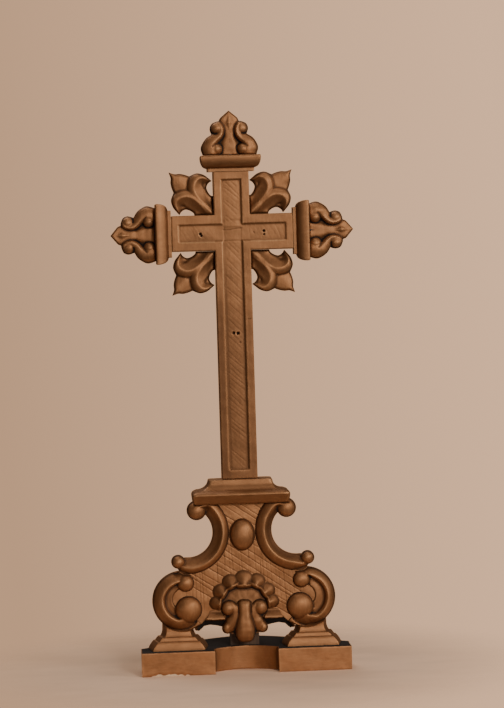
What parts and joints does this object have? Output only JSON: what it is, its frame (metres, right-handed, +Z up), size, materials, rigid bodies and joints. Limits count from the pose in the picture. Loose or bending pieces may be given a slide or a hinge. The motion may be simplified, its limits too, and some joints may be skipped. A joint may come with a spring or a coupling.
{
  "type": "altar cross",
  "caption": "Latin cross of halved boards with moulded end caps, carved finials and corner leaves, standing by a tenon in a scrolled baroque foot on a bow-backed plinth",
  "frame": {"origin": "centre of the bounding box's underside, on the surface that the plinth stands on", "axes": "+Z up along the upright, +X across along the arms to the object's right-hand end as its carved front is faced, -Y forward out of the carved front"},
  "size_m": [0.3058, 0.124, 0.7021],
  "materials": {
    "gilt_board": "old bronze-gold paint over gesso on flat boards, satin with a soft metallic sheen, hatched by hand",
    "gilt_carving": "old bronze-gold paint over gesso on carved relief, satin, darker in the hollows and rubbed bright on the crests",
    "gilt_moulding": "old bronze-gold paint over gesso on mouldings and plinth, satin, with small chips to pale gesso along lower edges",
    "bare_wood": "plain planed wood stained dark brown, not gilded"
  },
  "bodies": {
    "stand": {"plinth": "gilt_moulding", "foot_left": "gilt_moulding", "foot_right": "gilt_moulding", "base_panel": "gilt_board", "apron_rail": "gilt_carving", "c_scroll_left": "gilt_carving", "c_scroll_right": "gilt_carving", "volute_left": "gilt_carving", "volute_right": "gilt_carving", "shell": "gilt_carving", "oval_boss": "gilt_carving", "pendant": "gilt_carving", "cap_moulding": "gilt_moulding", "back_post": "bare_wood", "post_dowel": "bare_wood", "foot_dowel_left": "bare_wood", "foot_dowel_right": "bare_wood"},
    "cross": {"upright": "gilt_board", "crossbar": "gilt_board", "end_cap_top": "gilt_moulding", "end_cap_left": "gilt_moulding", "end_cap_right": "gilt_moulding", "finial_top": "gilt_carving", "finial_left": "gilt_carving", "finial_right": "gilt_carving", "corner_leaf_upper_left": "gilt_carving", "corner_leaf_upper_right": "gilt_carving", "corner_leaf_lower_left": "gilt_carving", "corner_leaf_lower_right": "gilt_carving", "finial_dowel_top": "bare_wood", "finial_dowel_left": "bare_wood", "finial_dowel_right": "bare_wood"}
  },
  "joints": [
    {"name": "cross_lift", "type": "slide", "parent": "stand", "child": "cross", "axis": [0, 0, 1], "range_m": [0, 0.06]}
  ]
}
